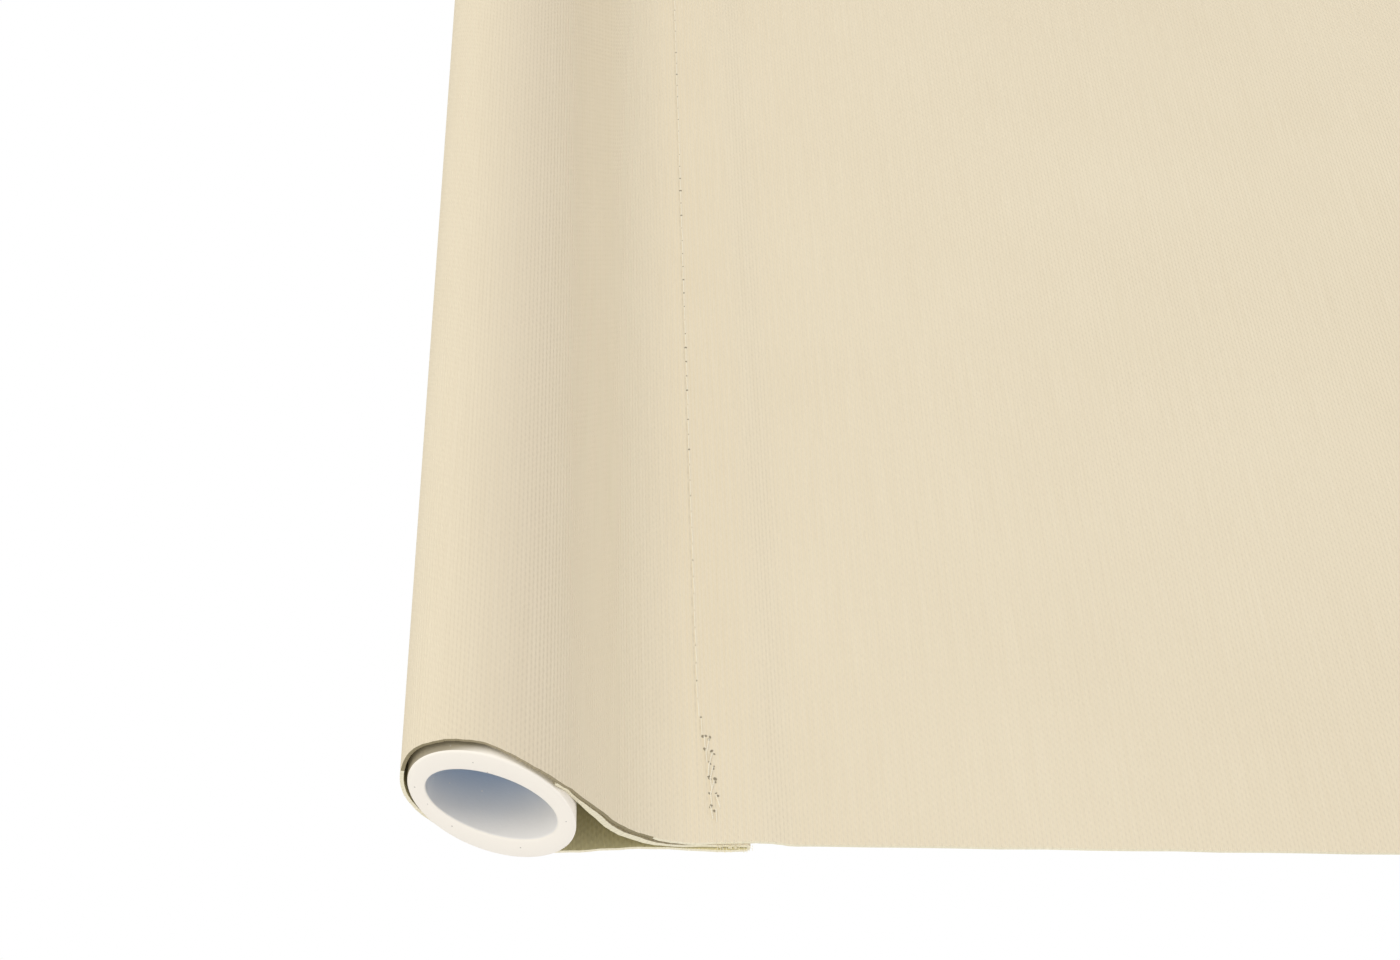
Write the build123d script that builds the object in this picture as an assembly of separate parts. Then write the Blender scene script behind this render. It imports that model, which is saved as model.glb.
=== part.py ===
# Blackout roller blind, hung on a wall and partly lowered, in millimetres.
# X runs along the blind's width, Z is up, the wall is the plane Y = 0 and the room is on the -Y side.
# The origin is the middle of the four screw holes, on the wall.
import os
from math import atan, cos, degrees, radians, sin, tan

from build123d import *

# Cloth and its hem
cloth_width = 600.0
cloth_thickness = 0.4
wound_turns = 11
wind_gap = 0.17            # air between two turns of the roll
tube_drop = 315.0          # roller axis down to the hem tube's axis
fold_reach = 28.6          # hem tube's axis up to the turned-in fold
seam_reach = 23.0          # hem tube's axis up to the stitch line
seam_margin = 0.5          # flat cloth below the stitches
drape_angle = 60.0         # how far the cloth dips over the tube's shoulder
pocket_slack = 0.35        # play between the pocket and the tube
layer_gap = 0.04           # air between sewn layers
fold_inner_radius = 0.05
tuck_start = 20.5          # where the turned-in layer leaves the sewn stack
tuck_end = 2.4             # its raw end, measured down from the tube's shoulder
ease_length = 6.0          # slope from three layers down to one
join_margin = 1.4          # flat cloth beyond that slope

# Hem tube, thick wall and flattened bore, both cut off at a slant on the +X end
hem_tube_d = 18.0
bore_width = 14.0
bore_height = 11.2
bore_end_r = 4.9           # tight arcs of the flattened bore
tube_slant = 17.0
tube_proud = 1.7           # tube's end beyond the cloth's square edge
trim_slant = 19.5          # the cloth round the tube, cut together with it
trim_out = 1.0             # the same, at the tube's axis
trim_peak = 4.0            # where that cut stops, from the tube's axis
trim_shoulder = 9.0
trim_low = 17.0
trim_low_out = 0.6

# Roller tube and its tape
roller_d = 28.0
roller_wall = 1.2
roller_overhang = 4.0      # bare tube at each side of the cloth
tape_thickness = 0.2
tape_width = 12.0
tape_angle = 30.0          # its first edge, below the roller's wall side

# End caps, pressed in the roller tube
cap_flange = 3.0
cap_chamfer = 0.5
cap_spigot = 16.0
cap_rib_count = 6
cap_rib_width = 2.4
cap_rib_height = 0.5
cap_shell = 1.6
running_gap = 0.08         # radial clearance of everything that turns

# Pin end
pin_d = 4.8
pin_chamfer = 0.6
pin_depth = 15.0
pin_gap = 2.5              # cap to bracket
pin_beyond = 4.0           # pin past the bracket
pin_boss_wall = 2.4

# Spring end: spindle, ratchet and pawls
spindle_d = 8.0
spindle_chamfer = 0.5
spindle_flat = 0.8         # depth of the key flat under the collar
spade_height = 6.4
spade_thickness = 2.8
spade_gap = 0.2            # play of the spade in its slot, each side
spade_beyond = 6.0
collar_d = 16.0
collar_length = 2.8
pawl_pivot_radius = 11.0
pawl_boss_d = 4.4
pawl_reach = 8.5           # pivot to the pawl's tip
pawl_width = 2.4
pawl_thickness = 2.4
pawl_engaged = 52.0        # pawl below the tangent when it is in its notch
pawl_swing = 38.0          # how far it rests out of it
notch_gap = 0.35
pawl_gap = 0.2             # axial play
rivet_d = 2.4
rivet_head_d = 4.0
rivet_head = 0.8
rivet_chamfer = 0.4
rivet_depth = 2.2
rivet_clearance = 1.3      # rivet heads to the slot bracket

# Counterbalance spring
spring_wire = 1.6
spring_inner_d = 13.0
spring_pitch = 7.5
spring_turns = 16
spring_runs = 16           # straight runs in one drawn turn
hub_length = 12.0
hub_d = 12.2
hub_collar_d = 17.0
hub_collar = 2.5
anchor_length = 12.0
anchor_nose = 9.0
anchor_nose_d = 12.6
hub_gap = 1.0

# Brackets, pressed from one sheet thickness
sheet = 1.5
bend_radius = 1.5
axis_standoff = 30.0       # wall to roller axis
arm_end_radius = 13.0
plate_height = 42.0
plate_width = 30.0
plate_corner = 5.0
screw_d = 4.5
screw_edge = 9.0           # wall plate's end to the screw's centre
screw_inset = 17.0         # bracket arm's inner face to the screw line
dart_d = 6.0
dart_reach = 9.0           # stiffening dart across the bend

# Sizes that follow from the ones above
half = cloth_thickness / 2
roller_r = roller_d / 2
bore_r = roller_r - roller_wall
hem_tube_r = hem_tube_d / 2
roll_pitch = cloth_thickness + wind_gap
roll_inner = roller_r + tape_thickness
roll_end = roll_inner + wound_turns * roll_pitch
panel_back = -axis_standoff + roll_end + cloth_thickness
mech_gap = pawl_gap + pawl_thickness + pawl_gap + rivet_head + rivet_clearance
roller_length = cloth_width + 2 * roller_overhang
inside_span = pin_gap + cap_flange + roller_length + cap_flange + mech_gap
right_arm = inside_span / 2
left_arm = -inside_span / 2
roller_right = right_arm - pin_gap - cap_flange
roller_left = left_arm + mech_gap + cap_flange
cloth_right = roller_right - roller_overhang
cloth_left = cloth_right - cloth_width
flange_face = roller_left - cap_flange
screw_height = plate_height / 2 - screw_edge
axis = (0, -axis_standoff, 0)

# Planes: section looks at the blind from its +X end, hem_section stands at the hem tube, u up and v to the room
section = Plane(origin=axis, x_dir=(0, 1, 0), z_dir=(1, 0, 0))
hem_section = Plane(origin=(0, panel_back, -tube_drop), x_dir=(0, 0, 1), z_dir=(1, 0, 0))


def direction(angle):
    return Vector(cos(radians(angle)), sin(radians(angle)))


def along_x(face, start, end):
    # A section, drawn on the plane X = 0, made solid from start to end.
    return Pos(start, 0, 0) * extrude(face, end - start, dir=(1, 0, 0))


def turned(x_start, x_end, radius):
    # A round bar on the roller's axis.
    return along_x(section * Circle(radius), x_start, x_end)


def bent_strip(start, heading, steps, thickness):
    # A bent sheet on its edge. Steps along its middle line are ("run", length) or ("turn", radius, degrees).
    edges = []
    point = Vector(*start)
    sides = [point + direction(heading + 90) * thickness / 2, point - direction(heading + 90) * thickness / 2]
    edges.append(Line(sides[0], sides[1]))
    for step in steps:
        normal = direction(heading + 90)
        if step[0] == "run":
            move = direction(heading) * step[1]
            edges += [Line(side, side + move) for side in sides]
            point += move
        else:
            radius, turn = step[1], step[2]
            way = 1 if turn > 0 else -1
            centre = point + normal * radius * way
            for offset in (thickness / 2, -thickness / 2):
                edges.append(CenterArc(centre, radius - way * offset, heading - 90 * way, turn))
            heading += turn
            point = centre - direction(heading + 90) * radius * way
        normal = direction(heading + 90)
        sides = [point + normal * thickness / 2, point - normal * thickness / 2]
    edges.append(Line(sides[0], sides[1]))
    return make_face(edges)


def dip(across, rise, angle):
    # Radius of the bend and length of the slope that climb rise over across and end at angle.
    a = radians(angle)
    radius = (across * sin(a) - rise * cos(a)) / (1 - cos(a))
    slope = (across - radius * sin(a)) / cos(a)
    return radius, slope


# Cloth wound on the roller: half turns about two centres, from the tape to the back of the roll
def make_roll():
    steps = [("turn", roll_inner + half + turn * roll_pitch / 2, -180) for turn in range(2 * wound_turns)]
    spiral = bent_strip((roll_inner + half, 0), -90, steps, cloth_thickness)
    return along_x(section * spiral, cloth_left, cloth_right)


def make_tape():
    radius = roller_r + tape_thickness / 2
    span = degrees(tape_width / radius)
    start = direction(-tape_angle) * radius
    strip = bent_strip((start.X, start.Y), -tape_angle - 90, [("turn", radius, -span)], tape_thickness)
    return along_x(section * strip, cloth_left, cloth_right)


# Hem: three layers at the seam, the pocket round the tube and the raw end under the shoulder
def hem_levels():
    tuck = half + 2 * (fold_inner_radius + half)
    front = tuck + cloth_thickness + layer_gap
    return tuck, front


def pocket_radius():
    return hem_tube_r + half + pocket_slack


def join_height():
    return fold_reach + ease_length + join_margin


def make_hem():
    tuck, front = hem_levels()
    loop = pocket_radius()
    loop_centre = half + loop
    lean = radians(drape_angle)
    shoulder = Vector(loop * sin(lean), loop_centre + loop * cos(lean))
    ease_angle = 2 * degrees(atan((front - half) / ease_length))
    ease_radius = ease_length / 2 / sin(radians(ease_angle))
    dip_start = seam_reach - seam_margin
    dip_radius, dip_slope = dip(dip_start - shoulder.X, shoulder.Y - front, drape_angle)
    down = direction(-drape_angle)
    inward = direction(180 + 90 - drape_angle)
    raw_end = shoulder + down * tuck_end + inward * (cloth_thickness + 2 * layer_gap)
    tuck_radius, tuck_slope = dip(tuck_start - raw_end.X, raw_end.Y - tuck, drape_angle)
    fold_radius = fold_inner_radius + half
    fold_centre = fold_reach - fold_radius - half
    steps = [
        ("run", join_margin),
        ("turn", ease_radius, -ease_angle),
        ("turn", ease_radius, ease_angle),
        ("run", fold_reach - dip_start),
        ("turn", dip_radius, -drape_angle),
        ("run", dip_slope),
        ("turn", loop, 180 + drape_angle),
        ("run", fold_centre),
        ("turn", fold_radius, 180),
        ("run", fold_centre - tuck_start),
        ("turn", tuck_radius, -drape_angle),
        ("run", tuck_slope),
    ]
    strip = bent_strip((join_height(), half), 180, steps, cloth_thickness)
    cloth = along_x(hem_section * strip, cloth_left, cloth_right + hem_tube_r)
    return cloth - trim_cut(cloth_right)


def trim_cut(edge):
    # What the slanted cut takes off the cloth's side edge, seen from the room.
    rise = tan(radians(trim_slant))
    far = edge + hem_tube_d
    low = -hem_tube_d
    top = join_height()
    outline = [
        (edge + trim_out + low * rise, low),
        (edge + trim_out + trim_peak * rise, trim_peak),
        (edge + trim_out + trim_peak * rise, trim_shoulder),
        (edge + trim_low_out, trim_low),
        (edge, top),
        (edge, top + hem_tube_d),
        (far, top + hem_tube_d),
        (far, low),
    ]
    front_view = Plane(origin=(0, 0, -tube_drop), x_dir=(1, 0, 0), z_dir=(0, -1, 0))
    return extrude(front_view * make_face(Polyline(*outline, close=True)), 2 * axis_standoff)


def oval(width, height, end_radius):
    # A flattened round, its tight ends joined by two wide arcs.
    across = width / 2 - end_radius
    up = height / 2
    wide_radius = (across**2 + up**2 - end_radius**2) / (2 * (up - end_radius))
    join = degrees(atan((wide_radius - up) / across))
    edges = [
        CenterArc((across, 0), end_radius, -join, 2 * join),
        CenterArc((0, up - wide_radius), wide_radius, join, 180 - 2 * join),
        CenterArc((-across, 0), end_radius, 180 - join, 2 * join),
        CenterArc((0, wide_radius - up), wide_radius, 180 + join, 180 - 2 * join),
    ]
    return make_face(edges)


def make_hem_tube():
    centre = cloth_thickness + layer_gap + hem_tube_r
    wall = Circle(hem_tube_r) - oval(bore_width, bore_height, bore_end_r)
    tube = along_x(hem_section * Pos(0, centre) * wall, cloth_left, cloth_right + hem_tube_d)
    end = cloth_right + tube_proud
    face = Plane(origin=(end, 0, -tube_drop), z_dir=(cos(radians(tube_slant)), 0, -sin(radians(tube_slant))))
    return split(tube, face, keep=Keep.BOTTOM)


def make_panel():
    height = tube_drop - join_height()
    body = Box(cloth_width, cloth_thickness, height, align=(Align.MIN, Align.MAX, Align.MAX))
    return Pos(cloth_left, panel_back, 0) * body


# Roller tube and the plugs in its ends
def make_roller_tube():
    return turned(roller_left, roller_right, roller_r) - turned(roller_left, roller_right, bore_r)


def make_cap(hole_r, boss_r):
    # Moulded plug with its flange's outer face at X = 0 and its spigot towards +X: crush ribs outside a thin
    # shell, a boss round the hole and webs between the two.
    spigot_end = cap_flange + cap_spigot
    skin = bore_r - cap_rib_height
    outline = Circle(skin)
    inside = Circle(skin - cap_shell) - Circle(boss_r)
    for number in range(cap_rib_count):
        spoke = Rot(Z=number * 360 / cap_rib_count)
        crush = spoke * Pos(0, skin) * Rectangle(cap_rib_width, 2 * cap_rib_height)
        outline += crush & Circle(bore_r)
        inside -= spoke * Pos(0, bore_r / 2) * Rectangle(cap_shell, bore_r)
    flange = turned(0, cap_flange, roller_r)
    rim = flange.edges().filter_by(GeomType.CIRCLE).sort_by(Axis.X)[0]
    cap = chamfer(rim, cap_chamfer) + along_x(section * (outline - inside), cap_flange, spigot_end)
    return cap - turned(0, spigot_end, hole_r)


def make_spring_cap():
    cap = make_cap(spindle_d / 2 + running_gap, spindle_d / 2 + running_gap + cap_shell)
    cap = Pos(flange_face, 0, 0) * cap
    for way in (1, -1):
        cap -= at_pivot(way, along_x(section * Circle(rivet_d / 2), flange_face, flange_face + rivet_depth))
    return cap


def make_pin_cap():
    cap = make_cap(pin_d / 2, pin_d / 2 + pin_boss_wall)
    return Pos(roller_right + cap_flange, 0, 0) * mirror(cap, about=Plane.YZ)


def make_pin():
    start = roller_right + cap_flange - pin_depth
    pin = turned(start, right_arm + sheet + pin_beyond, pin_d / 2)
    return chamfer(pin.edges().filter_by(GeomType.CIRCLE), pin_chamfer)


# Spring end
def at_pivot(way, shape):
    # Moves a shape drawn on the roller's axis to the upper (1) or lower (-1) pawl's pivot.
    return shape.moved(Location((0, 0, way * pawl_pivot_radius)))


def about_axis(shape, angle):
    return shape.rotate(Axis(axis, (1, 0, 0)), angle)


def pawl_outline(below):
    # The upper pawl on the section plane: a boss on its rivet and a strut to the room, below the tangent.
    pivot = Pos(0, pawl_pivot_radius)
    strut = Rot(Z=180 + below) * Pos(pawl_reach / 2, 0) * Rectangle(pawl_reach, pawl_width)
    return pivot * (strut + Circle(pawl_boss_d / 2))


def make_pawl(way):
    outer = flange_face - pawl_gap
    eye = Pos(0, pawl_pivot_radius) * Circle(rivet_d / 2 + running_gap)
    blank = pawl_outline(pawl_engaged - pawl_swing) - eye
    pawl = along_x(section * blank, outer - pawl_thickness, outer)
    return pawl if way > 0 else about_axis(pawl, 180)


def make_rivet(way):
    shank_end = flange_face - 2 * pawl_gap - pawl_thickness
    shank = along_x(section * Circle(rivet_d / 2), shank_end, flange_face + rivet_depth)
    head = along_x(section * Circle(rivet_head_d / 2), shank_end - rivet_head, shank_end)
    rim = head.edges().filter_by(GeomType.CIRCLE).sort_by(Axis.X)[0]
    return at_pivot(way, shank + chamfer(rim, rivet_chamfer))


def make_collar():
    # Two ratchet notches, each a straight shelf under the pawl and a stop face that its tip pushes
    # against when the spring turns the roller.
    outer = flange_face - pawl_gap
    blank = Circle(collar_d / 2) - keyed_section()
    reach = 2 * pawl_reach
    depth = pawl_width / 2 + notch_gap
    notch = Pos(pawl_reach + notch_gap - reach / 2, depth - collar_d / 2) * Rectangle(reach, collar_d)
    notch = Pos(0, pawl_pivot_radius) * Rot(Z=180 + pawl_engaged) * notch
    blank -= notch
    blank -= Rot(Z=180) * notch
    return along_x(section * blank, outer - collar_length, outer)


def keyed_section():
    # The spindle's section under the collar, with its key flat to the wall.
    keep = Pos(-spindle_flat, 0) * Rectangle(spindle_d, spindle_d)
    return Circle(spindle_d / 2) & keep


def make_spindle():
    key_start = flange_face - pawl_gap - collar_length
    rod = turned(flange_face, spindle_end(), spindle_d / 2)
    rod = chamfer(rod.edges().filter_by(GeomType.CIRCLE).sort_by(Axis.X)[-1], spindle_chamfer)
    rod += along_x(section * keyed_section(), key_start, flange_face)
    spade_outline = section * (Rectangle(spade_thickness, spade_height) & Circle(spindle_d / 2))
    spade = along_x(spade_outline, left_arm - sheet - spade_beyond, key_start)
    return rod + spade


def hub_start():
    return roller_left + cap_spigot + hub_gap


def spring_start():
    return hub_start() + hub_collar + spring_wire


def anchor_start():
    return spring_start() + spring_pitch * spring_turns + spring_wire


def spindle_end():
    return anchor_start() + anchor_length - hub_gap


def make_hub():
    start = hub_start()
    hub = turned(start, start + hub_collar, hub_collar_d / 2)
    hub += turned(start + hub_collar, start + hub_length, hub_d / 2)
    return hub - turned(start, start + hub_length, spindle_d / 2)


def make_spring():
    # A coil of short straight runs, whose faces are flat and few.
    radius = (spring_inner_d + spring_wire) / 2 / cos(radians(180 / spring_runs))
    points = []
    for number in range(spring_turns * spring_runs + 1):
        offset = direction(number * 360 / spring_runs) * radius
        points.append((offset.X, offset.Y, number * spring_pitch / spring_runs))
    path = Polyline(*points)
    wire = Plane(path @ 0, z_dir=path % 0) * Rectangle(spring_wire, spring_wire)
    coil = sweep(wire, path, transition=Transition.RIGHT)
    return Pos(spring_start(), -axis_standoff, 0) * Rot(Y=90) * coil


def make_anchor():
    start = anchor_start()
    anchor = turned(start, start + anchor_length, bore_r)
    anchor += turned(start - anchor_nose, start, anchor_nose_d / 2)
    return anchor - turned(start - anchor_nose, start + anchor_length, spindle_d / 2 + running_gap)


# Brackets
def bracket_blank():
    # The right-hand bracket: arm and wall plate pressed from one sheet, with a dart across the bend.
    middle = bend_radius + sheet / 2
    arm_length = axis_standoff + arm_end_radius - middle - sheet / 2
    face = right_arm + sheet / 2
    steps = [("run", arm_length), ("turn", middle, 90), ("run", plate_width - middle - sheet / 2)]
    ell = bent_strip((face, -axis_standoff - arm_end_radius), 90, steps, sheet)
    ell = Pos(0, 0, -plate_height / 2) * extrude(ell, plate_height, dir=(0, 0, 1))
    bend = sheet + bend_radius
    arm = arm_outline(bend)
    arm = along_x(section * arm, right_arm - bend_radius, right_arm + sheet)
    plate = RectangleRounded(2 * plate_width, plate_height, plate_corner)
    plate = Plane(origin=(right_arm + sheet, 0, 0), x_dir=(1, 0, 0), z_dir=(0, -1, 0)) * plate
    plate = extrude(plate, bend, dir=(0, -1, 0))
    ell = ell & (arm + plate)
    dart = Plane(origin=(right_arm, -sheet, 0), x_dir=(0, 0, 1), z_dir=(1, -1, 0)) * Circle(dart_d / 2)
    inner = Pos(right_arm - dart_reach / 2, -sheet - dart_reach / 2, 0) * Box(dart_reach, dart_reach, dart_d)
    ridge = extrude(dart, dart_reach, both=True) & inner
    return ell + ridge


def arm_outline(bend):
    # From the wall plate's full height the arm narrows to a round end about the roller's axis.
    wall_edge = axis_standoff - bend / 2
    foot = Polyline((wall_edge, -plate_height / 2), (wall_edge, plate_height / 2))
    return make_hull([CenterArc((0, 0), arm_end_radius, 0, 360), *foot.edges()])


def screw_holes(x):
    hole = Cylinder(screw_d / 2, 4 * sheet, rotation=(90, 0, 0))
    return Pos(x, 0, screw_height) * hole + Pos(x, 0, -screw_height) * hole


def make_pin_bracket():
    bracket = bracket_blank() - screw_holes(right_arm - screw_inset)
    return bracket - turned(right_arm - sheet, right_arm + 2 * sheet, pin_d / 2 + running_gap)


def make_slot_bracket():
    # The slot is open at the top, so that the spade drops in and can't turn.
    bracket = mirror(bracket_blank(), about=Plane.YZ) - screw_holes(left_arm + screw_inset)
    width = spade_thickness + 2 * spade_gap
    depth = arm_end_radius + spade_height / 2
    slot = Pos(0, depth / 2 - spade_height / 2 + arm_end_radius / 2)
    slot = slot * Rectangle(width, depth + arm_end_radius)
    return bracket - along_x(section * slot, left_arm - 2 * sheet, left_arm + sheet)


pieces = {
    "slot_bracket": make_slot_bracket(),
    "pin_bracket": make_pin_bracket(),
    "spindle": make_spindle(),
    "ratchet_collar": make_collar(),
    "spring_hub": make_hub(),
    "torsion_spring": make_spring(),
    "spring_anchor": make_anchor(),
    "spring_end_cap": make_spring_cap(),
    "pawl_upper": make_pawl(1),
    "pawl_lower": make_pawl(-1),
    "pawl_rivet_upper": make_rivet(1),
    "pawl_rivet_lower": make_rivet(-1),
    "roller_tube": make_roller_tube(),
    "pin_end_cap": make_pin_cap(),
    "gudgeon_pin": make_pin(),
    "adhesive_tape": make_tape(),
    "cloth_roll": make_roll(),
    "cloth_panel": make_panel(),
    "cloth_hem": make_hem(),
    "hem_tube": make_hem_tube(),
}

os.makedirs("parts", exist_ok=True)
for name, piece in pieces.items():
    export_step(piece, f"parts/{name}.step")
print(len(pieces), "pieces, screws at", round(right_arm - screw_inset, 2), "and", screw_height)
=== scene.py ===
# Blackout roller blind: the sewn hem with its weight tube, the hanging cloth, the roll and its brackets.
# X runs along the width, Z is up, the wall is at Y = 0 and the room is on the -Y side.
import math
import random

import bpy
from mathutils import Matrix, Vector


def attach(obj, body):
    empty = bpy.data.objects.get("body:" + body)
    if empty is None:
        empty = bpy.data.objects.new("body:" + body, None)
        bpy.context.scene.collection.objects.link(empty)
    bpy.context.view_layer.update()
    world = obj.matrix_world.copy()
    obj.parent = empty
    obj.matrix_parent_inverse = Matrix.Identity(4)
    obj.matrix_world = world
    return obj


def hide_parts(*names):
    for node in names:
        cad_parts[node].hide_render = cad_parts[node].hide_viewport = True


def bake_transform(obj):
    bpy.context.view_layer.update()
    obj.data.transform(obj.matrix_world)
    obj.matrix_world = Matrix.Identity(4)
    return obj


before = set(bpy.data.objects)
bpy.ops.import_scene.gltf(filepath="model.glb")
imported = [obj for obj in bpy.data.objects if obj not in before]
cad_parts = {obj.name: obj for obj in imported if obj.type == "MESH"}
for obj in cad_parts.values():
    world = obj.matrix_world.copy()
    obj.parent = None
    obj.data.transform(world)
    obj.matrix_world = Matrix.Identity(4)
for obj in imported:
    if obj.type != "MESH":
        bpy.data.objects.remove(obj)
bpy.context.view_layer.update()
mm = 0.001
random.seed(7)


# Small helpers
def linear(hexColour):
    # sRGB hex to the linear colour that nodes take
    parts = [int(hexColour[i:i + 2], 16) / 255 for i in (0, 2, 4)]
    return tuple(p / 12.92 if p <= 0.04045 else ((p + 0.055) / 1.055) ** 2.4 for p in parts) + (1.0,)


def deselect():
    if bpy.context.object and bpy.context.object.mode != "OBJECT":
        bpy.ops.object.mode_set(mode="OBJECT")
    bpy.ops.object.select_all(action="DESELECT")


def activate(piece):
    deselect()
    piece.select_set(True)
    bpy.context.view_layer.objects.active = piece


def settle(name):
    # the new piece's place goes into its mesh
    piece = bpy.context.object
    piece.name = name
    piece.data.name = name
    bpy.ops.object.transform_apply(location=True, rotation=True, scale=True)
    return piece


def applyModifier(piece, kind, **settings):
    activate(piece)
    modifier = piece.modifiers.new(kind.lower(), kind)
    for key, value in settings.items():
        setattr(modifier, key, value)
    bpy.ops.object.modifier_apply(modifier=modifier.name)


def closeShell():
    # in edit mode: fills the open ends and turns every face outwards
    bpy.ops.mesh.select_all(action="DESELECT")
    bpy.ops.mesh.select_non_manifold(extend=False)
    bpy.ops.mesh.fill_holes(sides=0)
    bpy.ops.mesh.select_all(action="SELECT")
    bpy.ops.mesh.normals_make_consistent(inside=False)
    bpy.ops.object.mode_set(mode="OBJECT")


def copies(master, places, name):
    # one copy of the master for each place, each with its own mesh, joined as one piece
    made = []
    for place in places:
        mesh = master.data.copy()
        mesh.transform(place)
        piece = bpy.data.objects.new(name, mesh)
        bpy.context.collection.objects.link(piece)
        made.append(piece)
    deselect()
    for piece in made:
        piece.select_set(True)
    bpy.context.view_layer.objects.active = made[0]
    bpy.ops.object.join()
    made[0].name = name
    return made[0]


def addNode(tree, kind, settings=None, inputs=None):
    # one node with its settings; an input is a value, or the socket that feeds it
    node = tree.nodes.new(kind)
    for key, value in (settings or {}).items():
        setattr(node, key, value)
    for key, value in (inputs or {}).items():
        if isinstance(value, bpy.types.NodeSocket):
            tree.links.new(value, node.inputs[key])
        else:
            node.inputs[key].default_value = value
    return node


def newMaterial(name, settings):
    material = bpy.data.materials.new(name)
    material.use_nodes = True
    shader = material.node_tree.nodes["Principled BSDF"]
    for key, value in settings.items():
        shader.inputs[key].default_value = value
    return material, material.node_tree, shader


def coat(piece, *materials):
    piece.data.materials.clear()
    for material in materials:
        piece.data.materials.append(material)


def roundEdges(piece, width, segments, sharpFrom, smoothTo):
    # a small bevel on the edges of a tube's ends, with the rest shaded smooth; angles in degrees
    applyModifier(piece, "BEVEL", width=width * mm, segments=segments, limit_method="ANGLE",
                  angle_limit=math.radians(sharpFrom))
    activate(piece)
    bpy.ops.object.shade_smooth_by_angle(angle=math.radians(smoothTo))


# Camera, lamps, world and floor
view = {
    "place": (0.4434, -0.2256, -0.3108),
    "right": (0.0273, -0.0677, 0.9973),
    "up": (-0.7419, -0.6700, -0.0252),
    "back": (0.6699, -0.7392, -0.0685),
    "lens": 60.16,
    "sensor": 36.0,
    "clipStart": 0.01,
    "white": 1.0,          # strength of what the camera sees past the blind
    "worldLight": 0.69,
    "worldTint": "fafbff",
    "floorHeight": -1.42,  # below the hem when the blind is let right down
    "floorSize": 6.0,
    "floorColour": "f2f2f0",
    "floorRoughness": 0.9,
}
# name: place, what it points at, size in metres, watts, colour
lamps = {
    "keyLamp": ((0.15, -1.236, -0.957), (0.2, 0.0, -0.3), 0.8, 8.0, "fffcf4"),
    "topLamp": ((0.15, -0.362, 1.052), (0.2, 0.0, -0.3), 0.8, 6.1, "ffffff"),
    "sideLamp": ((1.15, -0.06, -0.45), (0.3, -0.01, -0.31), 0.5, 2.4, "fffdf5"),
    "backLamp": ((-0.6, 1.4, 0.4), (0.0, 0.0, -0.15), 1.4, 8.0, "ffffff"),
}


def makeView():
    camera = bpy.data.objects.new("camera", bpy.data.cameras.new("camera"))
    bpy.context.collection.objects.link(camera)
    turn = Matrix((view["right"], view["up"], view["back"])).transposed()
    camera.matrix_world = Matrix.Translation(view["place"]) @ turn.to_4x4()
    camera.data.lens = view["lens"]
    camera.data.sensor_width = view["sensor"]
    camera.data.clip_start = view["clipStart"]
    bpy.context.scene.camera = camera


def makeLamps():
    for name, (place, target, size, power, colour) in lamps.items():
        lamp = bpy.data.objects.new(name, bpy.data.lights.new(name, "AREA"))
        bpy.context.collection.objects.link(lamp)
        lamp.location = place
        lamp.rotation_euler = (Vector(target) - Vector(place)).to_track_quat("-Z", "Y").to_euler()
        lamp.data.size = size
        lamp.data.energy = power
        lamp.data.color = linear(colour)[:3]


def makeWorld():
    # soft light on everything, and plain white wherever the camera or a reflection looks past the blind
    world = bpy.data.worlds.new("softStudio")
    bpy.context.scene.world = world
    world.use_nodes = True
    tree = world.node_tree
    tree.nodes.clear()
    path = addNode(tree, "ShaderNodeLightPath")
    seen = addNode(tree, "ShaderNodeMath", {"operation": "MAXIMUM"},
                   {0: path.outputs["Is Camera Ray"], 1: path.outputs["Is Glossy Ray"]})
    seen = addNode(tree, "ShaderNodeMath", {"operation": "MAXIMUM"},
                   {0: seen.outputs[0], 1: path.outputs["Is Transmission Ray"]})
    light = addNode(tree, "ShaderNodeBackground", None,
                    {"Color": linear(view["worldTint"]), "Strength": view["worldLight"]})
    white = addNode(tree, "ShaderNodeBackground", None,
                    {"Color": linear("ffffff"), "Strength": view["white"]})
    mix = addNode(tree, "ShaderNodeMixShader", None,
                  {0: seen.outputs[0], 1: light.outputs[0], 2: white.outputs[0]})
    addNode(tree, "ShaderNodeOutputWorld", None, {"Surface": mix.outputs[0]})


def makeFloor():
    deselect()
    bpy.ops.mesh.primitive_plane_add(size=view["floorSize"], location=(0, 0, view["floorHeight"]))
    floor = settle("floor")
    # matt white painted board, evenly lit
    colour, roughness = linear(view["floorColour"]), view["floorRoughness"]
    material, *_ = newMaterial("matt_white_floor", {"Base Color": colour, "Roughness": roughness})
    coat(floor, material)


makeView()
makeLamps()
makeWorld()
makeFloor()
bpy.context.scene.view_settings.view_transform = "Standard"
print("view ready")


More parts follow.
